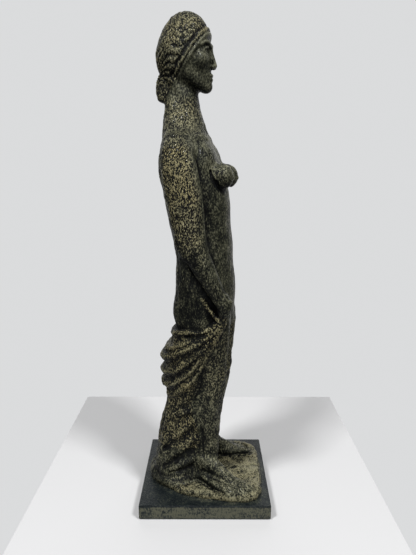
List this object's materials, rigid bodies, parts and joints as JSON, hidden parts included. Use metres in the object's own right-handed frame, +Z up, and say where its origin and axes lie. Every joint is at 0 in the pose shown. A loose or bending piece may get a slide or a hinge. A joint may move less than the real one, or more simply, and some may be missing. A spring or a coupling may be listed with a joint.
{
  "type": "bronze statuette",
  "caption": "Patinated bronze statuette of a standing woman holding a cloth behind her thighs, on rough ground and a square bronze plate.",
  "frame": {"origin": "middle of the underside of the square plate, on the surface the statuette stands on", "axes": "+Z up along the figure, the plate's front edge faces -Y, +X to the left hand of the figure; the figure is turned about 10 degrees towards -X"},
  "size_m": [0.145, 0.145, 0.536],
  "materials": {
    "figure_bronze": "dark green-black patina with olive-gold highlights, semi-gloss wax",
    "drapery_bronze": "dark green-black patina, pale gold rubbed fold ridges, semi-gloss wax",
    "terrace_bronze": "olive-gold brushed patina over rough modelled ground",
    "plate_bronze": "smooth dark blue-green patina, satin, brushed gold on the sides",
    "hardware_brass": "turned brass, unpolished",
    "hardware_steel": "zinc-plated, satin",
    "felt": "pressed wool felt"
  },
  "bodies": {
    "root": {"head": "figure_bronze", "torso": "figure_bronze", "right_arm": "figure_bronze", "left_arm": "figure_bronze", "right_leg": "figure_bronze", "left_leg": "figure_bronze", "drapery": "drapery_bronze", "terrace": "terrace_bronze", "base_plate": "plate_bronze", "felt_sheet": "felt", "neck_sleeve": "hardware_brass", "neck_pins": "hardware_brass", "shoulder_dowels": "hardware_brass", "hand_pins": "hardware_brass", "tie_rods": "hardware_steel", "tie_rod_washers": "hardware_steel", "tie_rod_nuts": "hardware_steel", "drapery_screws": "hardware_steel", "drapery_screw_washers": "hardware_steel", "terrace_screws": "hardware_steel", "terrace_screw_washers": "hardware_steel"}
  },
  "joints": []
}
